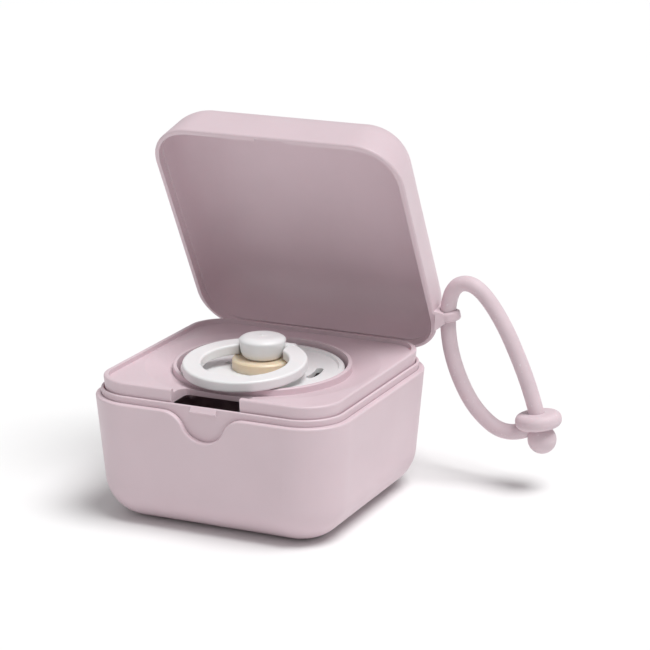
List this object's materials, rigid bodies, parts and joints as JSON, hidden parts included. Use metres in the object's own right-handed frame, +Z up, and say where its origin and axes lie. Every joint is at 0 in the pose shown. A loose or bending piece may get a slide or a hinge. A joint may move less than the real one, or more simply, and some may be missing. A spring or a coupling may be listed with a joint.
{
  "type": "pacifier travel case",
  "caption": "Rounded square hinged case, part open, with a ring-handled pacifier seated teat-down in its lift-out tray and a loop strap on the lid.",
  "frame": {"origin": "centre of the case's flat base, on the surface it stands on", "axes": "+X to the right along the front, +Y back towards the hinge, +Z up; the front with the thumb dip faces -Y"},
  "size_m": [0.106, 0.0843, 0.0992],
  "materials": {
    "case_plastic": "fine satin moulded polypropylene, dusty pink",
    "tray_plastic": "fine satin moulded polypropylene, dusty pink",
    "pin_steel": "drawn wire",
    "pacifier_plastic": "satin moulded, white",
    "latex": "natural latex, cream",
    "strap_silicone": "soft matte silicone, dusty pink"
  },
  "bodies": {
    "case": {"outer_case": "case_plastic", "inner_tub": "case_plastic", "hinge_pin": "pin_steel"},
    "lid": {"lid_shell": "case_plastic"},
    "tray": {"insert_tray": "tray_plastic"},
    "pacifier": {"pacifier_shield": "pacifier_plastic", "pacifier_teat": "latex", "pacifier_plug": "pacifier_plastic", "pacifier_knob": "pacifier_plastic"},
    "handle": {"pacifier_handle": "pacifier_plastic"},
    "strap": {"strap_cord": "strap_silicone", "strap_eyelet": "strap_silicone", "strap_ball": "strap_silicone"}
  },
  "joints": [
    {"name": "lid_hinge", "type": "hinge", "parent": "case", "child": "lid", "pos_m": [0, 0.0372, 0.0305], "axis": [-1, 0, 0], "range_deg": [-61.3, 44]},
    {"name": "tray_lift", "type": "slide", "parent": "case", "child": "tray", "axis": [0, 0, 1], "range_m": [0, 0.02]},
    {"name": "pacifier_lift", "type": "slide", "parent": "tray", "child": "pacifier", "axis": [0, 0, 1], "range_m": [0, 0.04]},
    {"name": "handle_pivot", "type": "hinge", "parent": "pacifier", "child": "handle", "pos_m": [0, 0.0033, 0.0406], "axis": [-1, 0, 0], "range_deg": [0, 180]},
    {"name": "strap_swing", "type": "hinge", "parent": "lid", "child": "strap", "pos_m": [0.0378, 0.0354, 0.0452], "axis": [0, 0, -1], "range_deg": [-60, 60]}
  ]
}
